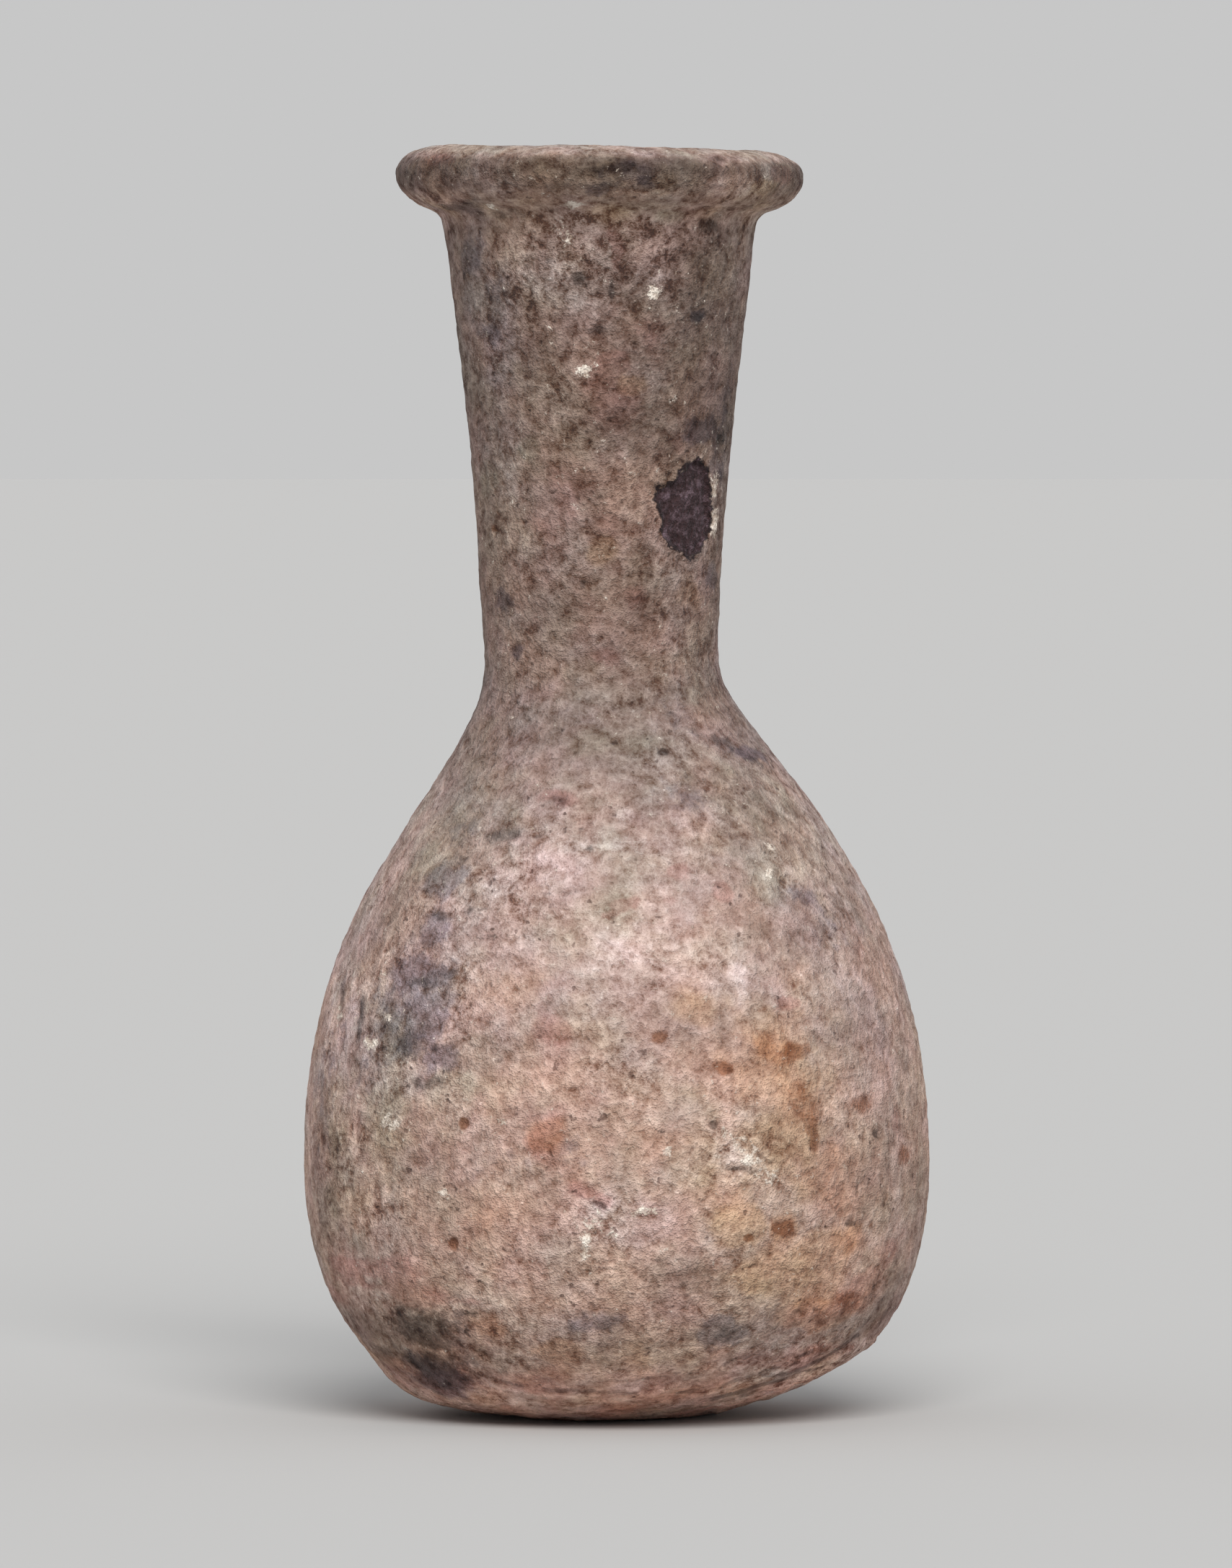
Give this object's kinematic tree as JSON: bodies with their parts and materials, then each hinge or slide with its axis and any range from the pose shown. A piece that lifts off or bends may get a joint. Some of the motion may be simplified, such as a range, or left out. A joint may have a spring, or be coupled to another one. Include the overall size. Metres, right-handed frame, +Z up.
{
  "type": "ceramic flask",
  "caption": "Small hollow ceramic flask with a pear-shaped body, a flaring neck and a thick everted lip, weathered and chipped as an excavated find.",
  "frame": {"origin": "on the neck's axis, in the plane of the flat spot under the base that the flask stands on", "axes": "+Z up out of the mouth; -Y towards the side that the picture shows, with +X on its right, where the belly bulges most"},
  "size_m": [0.0592, 0.0588, 0.12],
  "materials": {
    "weathered_ceramic": "unglazed buff to pinkish-brown fired clay, matte, with dark soot, grey-purple patches, ochre stains and thin white lime crust"
  },
  "bodies": {
    "root": {"flask": "weathered_ceramic"}
  },
  "joints": []
}
